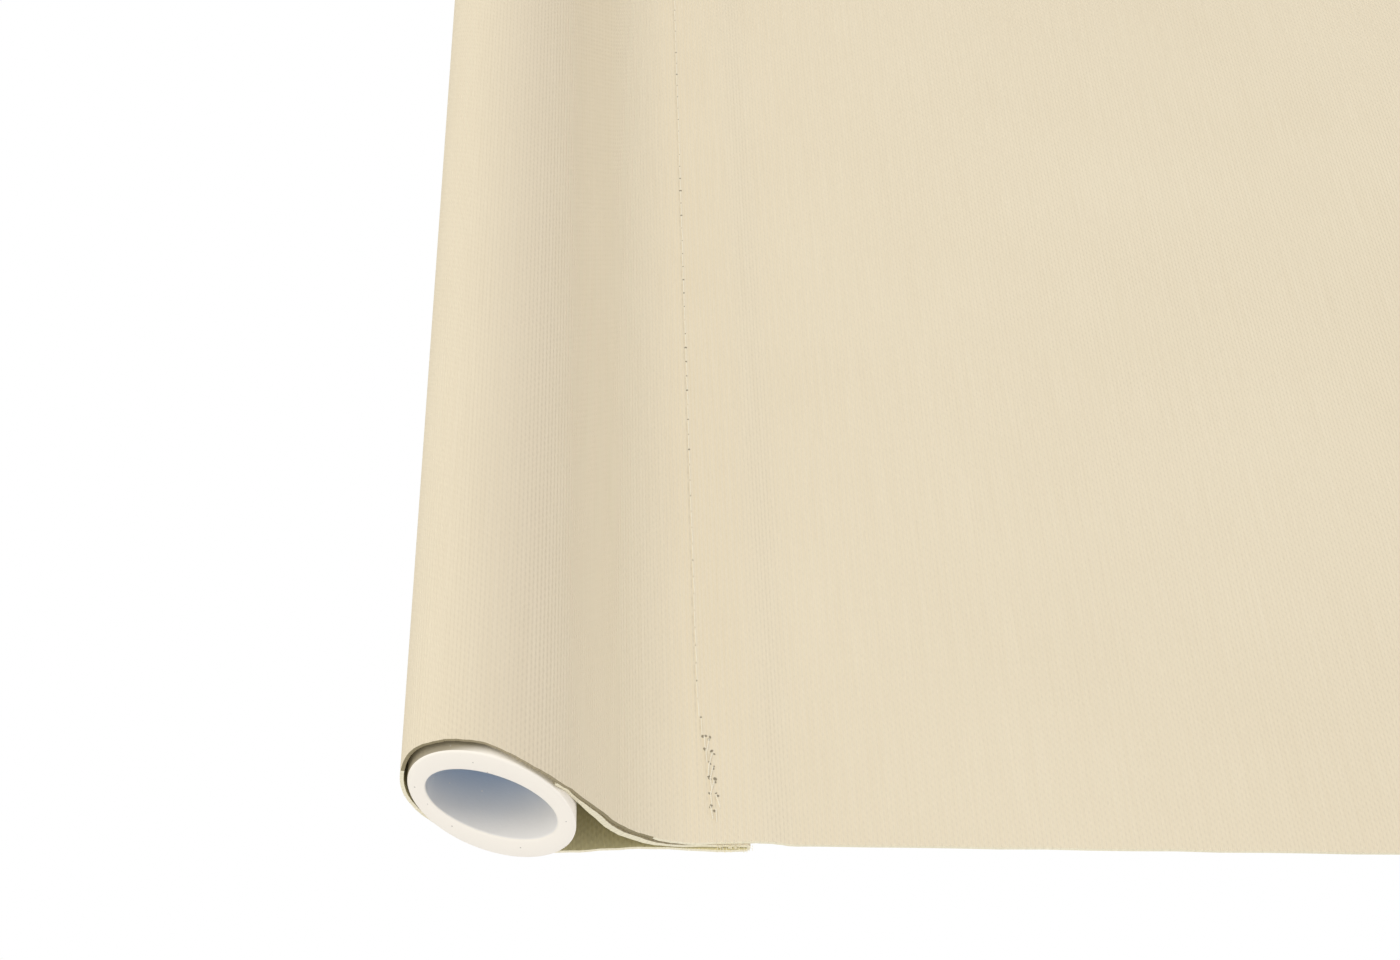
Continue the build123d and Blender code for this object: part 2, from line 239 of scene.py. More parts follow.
# Cloth: a ribbed face, a coated back and what the cut edge shows
weave = {
    "rib": 0.474,          # mm, 21 threads to the centimetre
    "ribRise": 1.3,        # height of a rib against the beads along it
    "pick": 0.46,
    "depth": 0.022,        # mm
    "coatedDepth": 0.6,    # share of that depth that shows through the coating
    "slubs": (0.05, 2.1, 1.0),  # noise over the flat cut: long across the width, short down the cloth
    "clouds": 0.03,
    "toneMiddle": 0.45,
    "seam": 292.1,         # mm down the flat cut
    "seamWidth": 0.35,
    "seamSink": 1.5,
    "face": "e4d8bf",
    "faceDark": "dfd2b8",
    "back": "e1d8bd",
    "pocket": "d8ce9f",    # the coating inside the hem, with painted shade: darker and more olive, for light bounced off the cloth
    "paintedEdgeShade": "93886b",
    "paintedShade": "b9aa95",
    "shadeAt": 320.1,      # mm down the flat cut: middle of the painted shade, where the cloth bends over the tube
    "shadeWidth": 7.0,
    "shadeDepth": 0.3,
    "pale": "f4ecd2",
    "lint": "9a907c",
    "lintScale": 0.045,
    "lintSize": 0.006,
}


def clothMaterial(name, light, dark, depth):
    material, tree, shader = newMaterial(name, {"Roughness": 0.85, "Specular IOR Level": 0.2})
    uv = addNode(tree, "ShaderNodeUVMap")
    split = addNode(tree, "ShaderNodeSeparateXYZ", None, {0: uv.outputs[0]})
    across, down = split.outputs[0], split.outputs[1]  # mm on the flat cut
    multiply, sine = {"operation": "MULTIPLY"}, {"operation": "SINE"}
    # ribs along the tube, each broken into the over and under of a plain weave
    ribs = addNode(tree, "ShaderNodeMath", multiply, {0: down, 1: 2 * math.pi / weave["rib"]})
    ribs = addNode(tree, "ShaderNodeMath", sine, {0: ribs.outputs[0]})
    picks = addNode(tree, "ShaderNodeMath", multiply, {0: across, 1: math.pi / weave["pick"]})
    picks = addNode(tree, "ShaderNodeMath", sine, {0: picks.outputs[0]})
    steps = addNode(tree, "ShaderNodeMath", multiply, {0: down, 1: math.pi / weave["rib"]})
    steps = addNode(tree, "ShaderNodeMath", sine, {0: steps.outputs[0]})
    beads = addNode(tree, "ShaderNodeMath", multiply, {0: picks.outputs[0], 1: steps.outputs[0]})
    height = addNode(tree, "ShaderNodeMath", {"operation": "MULTIPLY_ADD"},
                     {0: ribs.outputs[0], 1: weave["ribRise"], 2: beads.outputs[0]})
    # threads of uneven thickness, and a slow change of tone over the sheet
    slubs = addNode(tree, "ShaderNodeMapping", None, {"Vector": uv.outputs[0], "Scale": weave["slubs"]})
    slubs = addNode(tree, "ShaderNodeTexNoise", None,
                    {"Vector": slubs.outputs[0], "Scale": 1.0, "Detail": 1.0})
    cloud = addNode(tree, "ShaderNodeTexNoise", None,
                    {"Vector": uv.outputs[0], "Scale": weave["clouds"], "Detail": 3.0})
    tone = addNode(tree, "ShaderNodeMath", {"operation": "ADD"}, {0: slubs.outputs[0], 1: cloud.outputs[0]})
    tone = addNode(tree, "ShaderNodeMath", {"operation": "SUBTRACT", "use_clamp": True},
                   {0: tone.outputs[0], 1: weave["toneMiddle"]})
    colour = addNode(tree, "ShaderNodeMix", {"data_type": "RGBA"},
                     {0: tone.outputs[0], 6: linear(dark), 7: linear(light)})
    # painted shade: a soft darker band along the tube's shoulder
    paintedShade = addNode(tree, "ShaderNodeMath", {"operation": "SUBTRACT"}, {0: down, 1: weave["shadeAt"]})
    paintedShade = addNode(tree, "ShaderNodeMath", {"operation": "DIVIDE"},
                    {0: paintedShade.outputs[0], 1: weave["shadeWidth"]})
    paintedShade = addNode(tree, "ShaderNodeMath", multiply, {0: paintedShade.outputs[0], 1: paintedShade.outputs[0]})
    paintedShade = addNode(tree, "ShaderNodeMath", multiply, {0: paintedShade.outputs[0], 1: -1.0})
    paintedShade = addNode(tree, "ShaderNodeMath", {"operation": "EXPONENT"}, {0: paintedShade.outputs[0]})
    paintedShade = addNode(tree, "ShaderNodeMath", multiply, {0: paintedShade.outputs[0], 1: weave["shadeDepth"]})
    colour = addNode(tree, "ShaderNodeMix", {"data_type": "RGBA"},
                     {0: paintedShade.outputs[0], 6: colour.outputs[2], 7: linear(weave["paintedShade"])})
    # a stray fibre every few centimetres
    lint = addNode(tree, "ShaderNodeTexVoronoi", None, {"Vector": uv.outputs[0], "Scale": weave["lintScale"]})
    lint = addNode(tree, "ShaderNodeMath", {"operation": "LESS_THAN"},
                   {0: lint.outputs["Distance"], 1: weave["lintSize"]})
    colour = addNode(tree, "ShaderNodeMix", {"data_type": "RGBA"},
                     {0: lint.outputs[0], 6: colour.outputs[2], 7: linear(weave["lint"])})
    # the stitches draw the cloth in along the seam
    seam = addNode(tree, "ShaderNodeMath", {"operation": "SUBTRACT"}, {0: down, 1: weave["seam"]})
    seam = addNode(tree, "ShaderNodeMath", {"operation": "DIVIDE"},
                   {0: seam.outputs[0], 1: weave["seamWidth"]})
    seam = addNode(tree, "ShaderNodeMath", {"operation": "POWER"}, {0: seam.outputs[0], 1: 2.0})
    seam = addNode(tree, "ShaderNodeMath", multiply, {0: seam.outputs[0], 1: -1.0})
    seam = addNode(tree, "ShaderNodeMath", {"operation": "EXPONENT"}, {0: seam.outputs[0]})
    height = addNode(tree, "ShaderNodeMath", {"operation": "MULTIPLY_ADD"},
                     {0: seam.outputs[0], 1: -weave["seamSink"], 2: height.outputs[0]})
    bump = addNode(tree, "ShaderNodeBump", None,
                   {"Height": height.outputs[0], "Distance": depth * mm, "Strength": 1.0})
    tree.links.new(colour.outputs[2], shader.inputs["Base Color"])
    tree.links.new(bump.outputs[0], shader.inputs["Normal"])
    return material


coatedDepth = weave["depth"] * weave["coatedDepth"]
# ribbed polyester: matt, in two close tones
faceMaterial = clothMaterial("woven_polyester_face", weave["face"], weave["faceDark"], weave["depth"])
# acrylic coating on the wall side: one tone, with the weave showing through it
backMaterial = clothMaterial("acrylic_coated_back", weave["back"], weave["back"], coatedDepth)
# painted shade on the cut edge: a dark line for the shadow where the cloth's edge meets the tube
paintedEdgeShadeMaterial = clothMaterial("cut_edge_painted_shade", weave["paintedEdgeShade"], weave["paintedEdgeShade"], weave["depth"])
# the same coating inside the hem with painted shade, darker and more olive, where light only reaches it off
# the cloth itself
pocketMaterial = clothMaterial("acrylic_coated_back_in_hem_painted_shade", weave["pocket"], weave["pocket"], coatedDepth)
# face threads cut off short, pale at their ends
paleMaterial = clothMaterial("cut_edge_pale_threads", weave["pale"], weave["back"], weave["depth"])


# The cloth is one flat cut, hung from the roll and sewn round the tube.
# Heights (u) go up from the tube's axis and depths (v) from the cloth's wall side to the room, in mm
cloth = {
    "left": -298.8,
    "right": 301.2,
    "thickness": 0.4,
    "turnedThickness": 0.78,  # where the raw end is turned in twice, between these heights
    "turnedFrom": 8.8,
    "turnedTo": 19.0,
    "turnedFades": (2.0, 3.0),  # lengths over which it thickens and thins again
    "panelBack": -9.13,    # Y of the cloth's wall side
    "tubeDrop": 315.0,     # roller axis down to the tube's axis
    "foldReach": 28.3,
    "dipStart": 22.5,
    "easeLength": 6.0,
    "joinMargin": 1.7,
    "drape": 60.0,         # slope over the tube's shoulder, degrees
    "loop": 9.55,          # cloth's middle line round the tube
    "foldRadius": 0.25,
    "tuckStart": 19.7,
    "tuckDrape": 63.0,
    "tuckCurl": 13.0,      # degrees that the raw end climbs round the tube
    "tuckGap": 0.48,
    "tuckLevel": 0.7,
    "frontLevel": 1.14,
    "wave": 0.14,          # slack that a hung sheet keeps, above slackFrom
    "slackFrom": 50.0,
    "waveLengths": (37.0, 61.0),
    "waveSecond": 0.6,     # size and shift of the second wave
    "waveShift": 1.0,
    "ravel": 0.03,         # unevenness of the cut edge
    "ravelRates": (1.7, 4.3),
    "ravelSecond": 0.7,
    "pocketFrom": 287.0,   # mm down the flat cut: from here the coated side is inside the hem
    "paintedEdgeShadeFrom": 298.0,     # from here the cut edge gets the painted shade, a dark line
    "paintedEdgeShadeShort": 1.5,      # where the painted shade stops, before the end of the outer layer
    "endZone": 40.0,       # length at the +X end that follows the trimmed edge
    "coarseColumns": 26,
    "fineColumns": 34,
    "crowding": 0.8,       # below 1 the fine columns crowd towards the edge
    "trimPasses": 8,       # how often the trimmed edge is smoothed
    "smoothTo": 40.0,
}
# material slots of a sheet
layers = {"front": 0, "rear": 1, "cutEdge": 2, "paleEdge": 3, "pocket": 4}
# how far the cut edge runs past the square edge (mm), against height, for the outer layer, the one
# under the tube and the tucked one
trimFront = [(-9.6, -1.2), (-8.6, -1.8), (-7.3, -1.2), (-3.4, -0.1), (-0.2, 0.85), (2.2, 2.1),
             (4.2, 2.9), (7.0, 3.45), (8.9, 2.95), (11.3, 1.85), (13.3, 1.25), (16.5, 0.7),
             (22.2, 0.65), (27.7, 0.35), (34.0, 0.0)]
trimUnder = [(-9.6, -1.2), (-8.5, -1.1), (-7.0, -1.0), (0.0, 0.6), (6.6, 1.5), (10.0, 1.15),
             (14.2, 0.72), (16.8, 0.52), (21.0, 0.7), (24.5, 0.95), (27.6, 1.05), (28.1, 0.6)]
trimTuck = [(6.5, 3.5), (8.6, 2.8), (10.4, 1.95), (12.6, 1.0), (14.8, 0.45), (17.0, 0.45),
            (19.6, 0.65), (24.0, 0.6), (28.1, 0.5)]


def between(pairs, at):
    # reads a list of (place, value) between its points
    if at <= pairs[0][0]:
        return pairs[0][1]
    for (a, valueA), (b, valueB) in zip(pairs, pairs[1:]):
        if at <= b:
            share = (at - a) / (b - a)
            return valueA + (valueB - valueA) * share
    return pairs[-1][1]


def walk(place, heading, steps):
    # follows a bent line: ("run", length, parts) or ("turn", radius, degrees, parts)
    u, v = place
    length = 0.0
    rows = [(u, v, length)]
    for step in steps:
        if step[0] == "run":
            _, run, parts = step
            for _ in range(parts):
                u += math.cos(heading) * run / parts
                v += math.sin(heading) * run / parts
                length += run / parts
                rows.append((u, v, length))
        else:
            _, radius, degrees, parts = step
            way = 1 if degrees > 0 else -1
            centre = (u - math.sin(heading) * radius * way, v + math.cos(heading) * radius * way)
            for _ in range(parts):
                heading += math.radians(degrees) / parts
                u = centre[0] + math.sin(heading) * radius * way
                v = centre[1] - math.cos(heading) * radius * way
                length += radius * abs(math.radians(degrees)) / parts
                rows.append((u, v, length))
    return rows


def dip(across, rise, angle):
    # radius of a bend and length of the slope that climb rise over across and end at angle
    a = math.radians(angle)
    radius = (across * math.sin(a) - rise * math.cos(a)) / (1 - math.cos(a))
    return radius, (across - radius * math.sin(a)) / math.cos(a)


def hemRows():
    # the cloth's middle line from the roll down, round the tube, up to the fold and back to its raw end;
    # the last number of each step is how many rows it gets
    half = cloth["thickness"] / 2
    loop, gap = cloth["loop"], cloth["tuckGap"]
    lean = math.radians(cloth["drape"])
    shoulder = (loop * math.sin(lean), half + loop + loop * math.cos(lean))
    easeAngle = 2 * math.atan((cloth["frontLevel"] - half) / cloth["easeLength"])
    easeRadius = cloth["easeLength"] / 2 / math.sin(easeAngle)
    dipRadius, dipSlope = dip(
        cloth["dipStart"] - shoulder[0], shoulder[1] - cloth["frontLevel"], cloth["drape"])
    rawEnd = (shoulder[0] - math.sin(lean) * gap, shoulder[1] - math.cos(lean) * gap)
    tuckRadius, tuckSlope = dip(
        cloth["tuckStart"] - rawEnd[0], rawEnd[1] - cloth["tuckLevel"], cloth["tuckDrape"])
    foldCentre = cloth["foldReach"] - cloth["foldRadius"] - half
    joinHeight = cloth["foldReach"] + cloth["easeLength"] + cloth["joinMargin"]
    easeDegrees = math.degrees(easeAngle)
    front = [
        ("run", cloth["tubeDrop"] - joinHeight, 56),
        ("run", cloth["joinMargin"], 1),
        ("turn", easeRadius, -easeDegrees, 5),
        ("turn", easeRadius, easeDegrees, 5),
        ("run", cloth["foldReach"] - cloth["dipStart"], 5),
        ("turn", dipRadius, -cloth["drape"], 16),
        ("run", dipSlope, 8),
        ("turn", loop, cloth["drape"] + 90, 50),
    ]
    under = [("turn", loop, 90, 36), ("run", foldCentre, 26)]
    tuck = [
        ("turn", cloth["foldRadius"], 180, 10),
        ("run", foldCentre - cloth["tuckStart"], 7),
        ("turn", tuckRadius, -cloth["tuckDrape"], 14),
        ("run", tuckSlope, 8),
        ("turn", loop - gap, cloth["tuckCurl"], 4),
    ]
    frontEnd = sum(step[-1] for step in front)
    underEnd = frontEnd + sum(step[-1] for step in under)
    return walk((cloth["tubeDrop"], half), math.pi, front + under + tuck), frontEnd, underEnd


def sheetColumns():
    # places across the width: far apart on the long stretch, close together at the trimmed end
    left, right, zone = cloth["left"], cloth["right"], cloth["endZone"]
    coarseCount, fineCount = cloth["coarseColumns"], cloth["fineColumns"]
    coarse = [left + (right - zone - left) * i / coarseCount for i in range(coarseCount)]
    fine = [right - zone * (1 - (i / fineCount) ** cloth["crowding"]) for i in range(fineCount + 1)]
    return coarse + fine


def thicken(piece, front, rear, thickness, thin=1.0):
    # the sheet gets its thickness, with its materials in the order of layers; where it has a vertex
    # group, the full thickness is inside the group and the share thin of it outside
    coat(piece, front, rear, paintedEdgeShadeMaterial, paleMaterial, pocketMaterial)
    groups = {}
    if piece.vertex_groups:
        groups = {"vertex_group": piece.vertex_groups[0].name, "thickness_vertex_group": thin}
    applyModifier(piece, "SOLIDIFY", thickness=thickness * mm, offset=0.0, use_even_offset=True,
                  material_offset=layers["rear"], material_offset_rim=layers["cutEdge"], **groups)
    activate(piece)
    bpy.ops.object.shade_smooth_by_angle(angle=math.radians(cloth["smoothTo"]))


def makeCloth():
    rows, frontEnd, underEnd = hemRows()
    columns = sheetColumns()
    deselect()
    bpy.ops.mesh.primitive_grid_add(x_subdivisions=len(columns) - 1, y_subdivisions=len(rows) - 1, size=2)
    piece = settle("blackoutCloth")
    mesh = piece.data
    right, drop, slackFrom = cloth["right"], cloth["tubeDrop"], cloth["slackFrom"]
    past = []
    for number, place in enumerate(rows):
        trim = trimFront if number <= frontEnd else trimUnder if number <= underEnd else trimTuck
        past.append(between(trim, place[0]))
    for _ in range(cloth["trimPasses"]):
        past = [(a + 2 * b + c) / 4 for a, b, c in zip(past[:1] + past, past, past[1:] + past[-1:])]
    slowRavel, fastRavel = cloth["ravelRates"]
    firstWave, secondWave = cloth["waveLengths"]
    turned = piece.vertex_groups.new(name="turnedTwice")
    flat = {}
    for vertex in mesh.vertices:
        x = columns[round((vertex.co.x + 1) / 2 * (len(columns) - 1))]
        row = round((vertex.co.y + 1) / 2 * (len(rows) - 1))
        u, v, length = rows[row]
        ravel = math.sin(length * slowRavel) + cloth["ravelSecond"] * math.sin(length * fastRavel)
        stray = past[row] + cloth["ravel"] * ravel
        x += stray * max(0.0, 1 - (right - x) / cloth["endZone"]) ** 2
        slack = cloth["wave"] * math.sin(math.pi * max(0.0, (u - slackFrom) / (drop - slackFrom))) ** 2
        second = cloth["waveSecond"] * math.sin(x / secondWave + cloth["waveShift"])
        v += slack * (math.sin(x / firstWave) + second)
        flat[vertex.index] = (x, length)
        vertex.co = (x * mm, (cloth["panelBack"] - v) * mm, (u - drop) * mm)
        if row > underEnd:
            start, end = cloth["turnedFrom"], cloth["turnedTo"]
            thicker, thinner = cloth["turnedFades"]
            share = max(0.0, min(1.0, (u - start) / thicker, (end - u) / thinner))
            turned.add([vertex.index], share, "REPLACE")
    uv = mesh.uv_layers.active or mesh.uv_layers.new(name="flatCut")
    for loop in mesh.loops:
        uv.data[loop.index].uv = flat[loop.vertex_index]  # millimetres on the flat cut
    # the turned-in part is thick and the rest is one cloth
    thin = cloth["thickness"] / cloth["turnedThickness"]
    thicken(piece, backMaterial, faceMaterial, cloth["turnedThickness"], thin)
    # the cut edge gets painted shade, a dark line, where it bends over the tube, and pale thread ends before
    # and after
    paintedEdgeShadeEnd = rows[frontEnd][2] - cloth["paintedEdgeShadeShort"]
    cut = mesh.uv_layers.active.data
    for face in mesh.polygons:
        length = cut[face.loop_start].uv[1]
        if face.material_index == layers["cutEdge"] and not cloth["paintedEdgeShadeFrom"] < length < paintedEdgeShadeEnd:
            face.material_index = layers["paleEdge"]
        # inside the hem the coated side gets the painted shade
        if face.material_index == layers["front"] and length > cloth["pocketFrom"]:
            face.material_index = layers["pocket"]
    return piece, rows[-1][2]


clothPiece, cutLength = makeCloth()
print("cloth hung,", round(cutLength), "mm of it below the roll")


# The seam: lock stitches, a back-tack at the side edge and the needle's holes
seam = {
    "height": 22.9,
    "front": 1.34,         # outer face of the sewn stack
    "pitch": 2.6,
    "gap": 0.25,           # by which a stitch is shorter than the pitch
    "shift": 0.12,
    "lean": 0.04,          # radians that a stitch may lie askew
    "margin": 4.0,         # where the line stops before the far side edge
    "tackPitch": 1.9,
    "tackStart": 287.5,
    "tackEnd": 299.6,
    "tackRise": 1.4,       # the line runs up a little towards the side edge, from here over this length
    "riseFrom": 281.0,
    "riseLength": 12.0,
    "tackRows": 0.5,
    "tackShift": 0.4,      # of the upper row against the lower one
    "tackStray": 0.12,
    "tackLean": 0.25,
    "tackFront": (1.5, 1.2),  # lift and thickness of a back-tack stitch, as shares of a plain one
    "tackRear": (1.2, 1.0),
    "thread": 0.065,       # radius
    "bulge": 0.05,
    "threadSides": 6,
    "threadParts": 6,
    "hole": 0.15,
    "holeSides": 9,
    "holeRim": 0.4,        # share of its radius
    "holeDip": 0.01,
    "holeProud": 0.012,    # in front of the cloth's face
    "holeTurn": 6.28,
    "holeLength": (0.8, 1.3),
    "holeWidth": (0.6, 1.0),
    "openings": (0.3, 0.4, 0.5, 0.6, 0.7, 1.0, 1.25),  # how far holes stand open, as shares of a hole
    "tackHoles": 2,        # to a stitch
    "tackOpenings": (0.8, 1.6),
    "tackHoleStray": (0.3, 0.22),
}


def makeStrand(name, radius, length, bulge, sides, parts):
    # a thread of that length from X = 0, lifted in its middle
    deselect()
    bpy.ops.mesh.primitive_circle_add(vertices=sides, radius=radius * mm, rotation=(0, math.pi / 2, 0))
    piece = settle(name)
    bpy.ops.object.mode_set(mode="EDIT")
    bpy.ops.mesh.select_all(action="SELECT")
    lift = 0.0
    for part in range(1, parts + 1):
        higher = bulge * math.sin(math.pi * part / parts)
        bpy.ops.mesh.extrude_region_move(
            TRANSFORM_OT_translate={"value": (length / parts * mm, -(higher - lift) * mm, 0)})
        lift = higher
    closeShell()
    return piece


def seamHeight(x):
    share = min(1.0, max(0.0, (x - seam["riseFrom"]) / seam["riseLength"]))
    return seam["height"] + seam["tackRise"] * share * share * (3 - 2 * share)


def onSeam(x, side, past=0.0):
    # a place on the sewn stack: side 1 is the room face, -1 the wall face
    depth = seam["front"] if side > 0 else 0.0
    height = seamHeight(x) + past - cloth["tubeDrop"]
    return Vector((x * mm, (cloth["panelBack"] - depth) * mm, height * mm))


def makeSeam():
    stitch = makeStrand("stitch", seam["thread"], seam["pitch"] - seam["gap"], seam["bulge"],
                        seam["threadSides"], seam["threadParts"])
    places = []
    spots = []
    # the long line
    x = seam["tackStart"]
    lean = seam["lean"]
    while x > cloth["left"] + seam["margin"]:
        x -= seam["pitch"]
        for side in (1, -1):
            turn = Matrix.Rotation(random.uniform(-lean, lean), 4, "Y")
            flip = Matrix.Diagonal((1, side, 1, 1))
            places.append(Matrix.Translation(onSeam(x + seam["shift"], side)) @ turn @ flip)
        spots.append((x, 0.0, random.choice(seam["openings"])))
    # the back-tack
    short = seam["tackPitch"] / seam["pitch"]
    lean, stray = seam["tackLean"], seam["tackStray"]
    strayAlong, strayUp = seam["tackHoleStray"]
    frontLift, frontWidth = seam["tackFront"]
    rearLift, rearWidth = seam["tackRear"]
    front = Matrix.Diagonal((short, frontLift, frontWidth, 1))
    rear = Matrix.Diagonal((short, -rearLift, rearWidth, 1))
    for row in (-1, 1):
        x = seam["tackStart"] + (seam["tackShift"] if row > 0 else 0.0)
        while x < seam["tackEnd"] - seam["tackPitch"] / 2:
            past = row * seam["tackRows"] / 2 + random.uniform(-stray, stray)
            turn = Matrix.Rotation(random.uniform(-lean, lean), 4, "Y")
            places.append(Matrix.Translation(onSeam(x, 1, past)) @ turn @ front)
            places.append(Matrix.Translation(onSeam(x, -1, past)) @ turn @ rear)
            for _ in range(seam["tackHoles"]):
                along = x + random.uniform(-strayAlong, strayAlong)
                up = past + random.uniform(-strayUp, strayUp)
                spots.append((along, up, random.uniform(*seam["tackOpenings"])))
            x += seam["tackPitch"]
    thread = copies(stitch, places, "seamThread")
    # a needle hole is a flat ring with a sunk middle, dark with painted shade
    deselect()
    bpy.ops.mesh.primitive_circle_add(vertices=seam["holeSides"], radius=seam["hole"] * mm, fill_type="NGON",
                                      rotation=(math.pi / 2, 0, 0))
    hole = settle("hole")
    bpy.ops.object.mode_set(mode="EDIT")
    bpy.ops.mesh.select_all(action="SELECT")
    bpy.ops.mesh.inset(thickness=seam["hole"] * seam["holeRim"] * mm, depth=seam["holeDip"] * mm)
    bpy.ops.object.mode_set(mode="OBJECT")
    proud = Vector((0, seam["holeProud"] * mm, 0))
    marks = []
    for x, past, size in spots:
        turn = Matrix.Rotation(random.uniform(0, seam["holeTurn"]), 4, "Y")
        length = size * random.uniform(*seam["holeLength"])
        width = size * random.uniform(*seam["holeWidth"])
        shape = Matrix.Diagonal((length, 1, width, 1))
        marks.append(Matrix.Translation(onSeam(x, 1, past) - proud) @ turn @ shape)
    holes = copies(hole, marks, "needleHoles")
    for spare in (stitch, hole):
        bpy.data.objects.remove(spare)
    return thread, holes


fray = {
    "count": 60,
    "radius": 0.03,
    "length": (0.2, 0.5),
    "lift": 0.1,
    "sides": 5,
    "parts": 4,
    "lowest": 24.5,        # height above the tube's axis
    "pastFold": 0.15,
    "depth": (0.05, 0.95),  # in front of the cloth's wall side
    "reach": (0.35, 0.75),  # past the square edge
    "swing": (-0.7, 0.5),  # radians up or down
    "tilt": (-0.4, 0.4),   # radians to the wall or the room
}


def makeFrays():
    # loose thread ends at the fold's corner
    fibre = makeStrand("fibre", fray["radius"], 1.0, fray["lift"], fray["sides"], fray["parts"])
    places = []
    for _ in range(fray["count"]):
        u = random.uniform(fray["lowest"], cloth["foldReach"] + fray["pastFold"])
        depth = random.uniform(*fray["depth"])
        x = cloth["right"] + random.uniform(*fray["reach"])
        swing = Matrix.Rotation(random.uniform(*fray["swing"]), 4, "Y")
        tilt = Matrix.Rotation(random.uniform(*fray["tilt"]), 4, "Z")
        size = Matrix.Diagonal((random.uniform(*fray["length"]), 1, 1, 1))
        place = Vector((x * mm, (cloth["panelBack"] - depth) * mm, (u - cloth["tubeDrop"]) * mm))
        places.append(Matrix.Translation(place) @ (swing @ tilt) @ size)
    frays = copies(fibre, places, "frayedEnds")
    bpy.data.objects.remove(fibre)
    return frays


seamThread, needleHoles = makeSeam()
frayedEnds = makeFrays()

thread = {
    "dark": "ddd3bd",
    "light": "f4eedd",
    "twist": 2400.0,       # scale of the slanting bands
    "holeShadeDark": "716a5a",
    "holeShadeLight": "a89d86",
    "holeGrain": 3000.0,
}


def threadMaterial():
    # spun polyester sewing thread, nearly the cloth's colour, with a soft sheen
    material, tree, shader = newMaterial("spun_polyester_thread", {"Roughness": 0.45, "Sheen Weight": 0.3})
    place = addNode(tree, "ShaderNodeTexCoord")
    twist = addNode(tree, "ShaderNodeTexWave", {"bands_direction": "DIAGONAL"},
                    {"Vector": place.outputs["Object"], "Scale": thread["twist"], "Distortion": 1.0})
    colour = addNode(tree, "ShaderNodeMix", {"data_type": "RGBA"},
                     {0: twist.outputs["Fac"], 6: linear(thread["dark"]), 7: linear(thread["light"])})
    tree.links.new(colour.outputs[2], shader.inputs["Base Color"])
    return material


def holeMaterial():
    # painted shade: the needle holes as dark mottled discs
    material, tree, shader = newMaterial("needle_hole_painted_shade",
                                         {"Roughness": 0.95, "Specular IOR Level": 0.1})
    place = addNode(tree, "ShaderNodeTexCoord")
    grain = addNode(tree, "ShaderNodeTexNoise", None,
                    {"Vector": place.outputs["Object"], "Scale": thread["holeGrain"]})
    colour = addNode(tree, "ShaderNodeMix", {"data_type": "RGBA"},
                     {0: grain.outputs[0], 6: linear(thread["holeShadeDark"]), 7: linear(thread["holeShadeLight"])})
    tree.links.new(colour.outputs[2], shader.inputs["Base Color"])
    return material


coat(seamThread, threadMaterial())
coat(needleHoles, holeMaterial())
coat(frayedEnds, paleMaterial)
print("seam sewn")


# The weight tube in the hem
tube = {
    "radius": 9.0,
    "boreWidth": 7.0,      # half the bore each way
    "boreHeight": 5.6,
    "axis": 9.44,          # in front of the cloth's wall side
    "slant": 17.0,         # of the sawn end
    "endPast": 1.7,
    "rimRound": 0.3,
    "rimSegments": 3,
    "sharpFrom": 50.0,
    "smoothTo": 35.0,
    "sides": 96,
    "endFacing": 0.3,      # faces that look more along X than this are the sawn ends
    "light": "f2ebe0",
    "plain": (0.0, 1.0),   # these stretches of X are measured from the cloth's edge
    "paintedClothShadow": "9b917a",
    "paintedClothShadowStretch": (-0.2, 1.7),  # painted shadow of the cloth: the outside is dark up to the cloth's edge and light at its sawn end
    "mouth": "f0ece6",     # the bore at its mouth, and painted shade deeper in: darker and bluer
    "deep": "a9c2de",
    "boreShade": (-11.0, 1.5),
    "plainRoughness": 0.5,
    "outerRoughness": 0.42,
    "speck": "b5afa6",
    "speckScale": 620.0,
    "speckSize": 0.06,
    "grain": 2600.0,
    "grainDepth": 0.03,
}


def makeHemTube():
    left, end = cloth["left"], cloth["right"] + tube["endPast"]
    centre = Vector((left, cloth["panelBack"] - tube["axis"], -cloth["tubeDrop"])) * mm
    lie = (0, math.pi / 2, 0)
    deselect()
    bpy.ops.mesh.primitive_circle_add(vertices=tube["sides"], radius=tube["radius"] * mm, location=centre,
                                      rotation=lie)
    piece = settle("hemTube")
    bpy.ops.object.mode_set(mode="EDIT")
    bpy.ops.mesh.select_all(action="DESELECT")
    bpy.ops.mesh.primitive_circle_add(vertices=tube["sides"], radius=tube["boreWidth"] * mm, location=centre,
                                      rotation=lie)
    bpy.ops.transform.resize(value=(1, tube["boreHeight"] / tube["boreWidth"], 1), center_override=centre)
    bpy.ops.mesh.select_all(action="SELECT")
    bpy.ops.mesh.bridge_edge_loops()
    bpy.ops.mesh.select_all(action="SELECT")
    length = Vector(((end - left) * mm, 0, 0))
    bpy.ops.mesh.extrude_region_move(TRANSFORM_OT_translate={"value": length})
    slant = math.radians(tube["slant"])
    bpy.ops.transform.rotate(value=-slant, orient_axis="Y", center_override=centre + length)
    stretch = 1 / math.cos(slant)
    bpy.ops.transform.resize(value=(stretch, 1, stretch), center_override=centre + length)
    bpy.ops.mesh.select_all(action="SELECT")
    bpy.ops.mesh.normals_make_consistent(inside=False)
    bpy.ops.object.mode_set(mode="OBJECT")
    roundEdges(piece, tube["rimRound"], tube["rimSegments"], tube["sharpFrom"], tube["smoothTo"])
    return piece, centre


